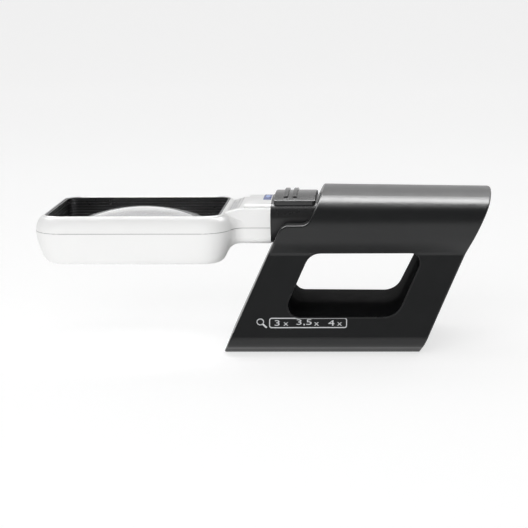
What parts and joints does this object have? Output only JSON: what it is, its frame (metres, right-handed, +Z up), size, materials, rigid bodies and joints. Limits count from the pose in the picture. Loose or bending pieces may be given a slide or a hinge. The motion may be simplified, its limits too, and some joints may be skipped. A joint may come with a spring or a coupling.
{
  "type": "illuminated hand magnifier in stand",
  "caption": "Rectangular illuminated hand magnifier with a domed lens and slide switch, its grip pushed into a black reading stand with a sleeve and a slanted finger opening.",
  "frame": {"origin": "on the table under the middle of the whole object's box", "axes": "+X from the lens towards the heel of the stand, +Y across, +Z up; Y = 0 is the plane of symmetry"},
  "size_m": [0.201, 0.063, 0.0712],
  "materials": {
    "white_plastic": "semi-gloss moulded",
    "bezel_black": "ribbed, semi-gloss",
    "lens_acrylic": "polished clear acrylic",
    "label_grey": "printed label",
    "mark_blue": "gloss inlay",
    "black_plastic": "satin, fine moulded grain",
    "grip_black": "satin",
    "switch_black": "satin",
    "circuit_green": "solder mask",
    "lamp_white": "lamp body",
    "clear_window": "clear",
    "wire_red": "insulation",
    "spring_steel": "bright strip",
    "cell_sleeve": "plain sleeve",
    "ballast_steel": "sawn plate",
    "screw_steel": "zinc plated",
    "foot_rubber": "matt"
  },
  "bodies": {
    "base": {"stand_shell": "black_plastic", "bottom_plate": "black_plastic", "plate_screws": "screw_steel", "rubber_feet": "foot_rubber", "ballast_weight": "ballast_steel", "guide_rails": "black_plastic", "catch_spring": "spring_steel"},
    "magnifier": {"head_upper_shell": "white_plastic", "head_lower_shell": "white_plastic", "lens_bezel": "bezel_black", "lens": "lens_acrylic", "info_label": "label_grey", "colour_mark": "mark_blue", "led_window": "clear_window", "led_board": "circuit_green", "leds": "lamp_white", "led_wires": "wire_red", "grip_upper_shell": "grip_black", "grip_lower_shell": "grip_black", "batteries": "cell_sleeve", "contact_plates": "spring_steel", "contact_springs": "spring_steel", "circuit_board": "circuit_green", "switch_body": "spring_steel", "housing_screws": "screw_steel"},
    "switch": {"switch_slider": "switch_black", "switch_lever": "black_plastic"},
    "cover": {"battery_cover": "grip_black"}
  },
  "joints": [
    {"name": "magnifier_slide", "type": "slide", "parent": "base", "child": "magnifier", "axis": [-1, 0, 0], "range_m": [0, 0.078]},
    {"name": "switch_slide", "type": "slide", "parent": "magnifier", "child": "switch", "axis": [-1, 0, 0], "range_m": [0, 0.0045]},
    {"name": "battery_cover_slide", "type": "slide", "parent": "magnifier", "child": "cover", "axis": [1, 0, 0], "range_m": [0, 0.007]}
  ]
}
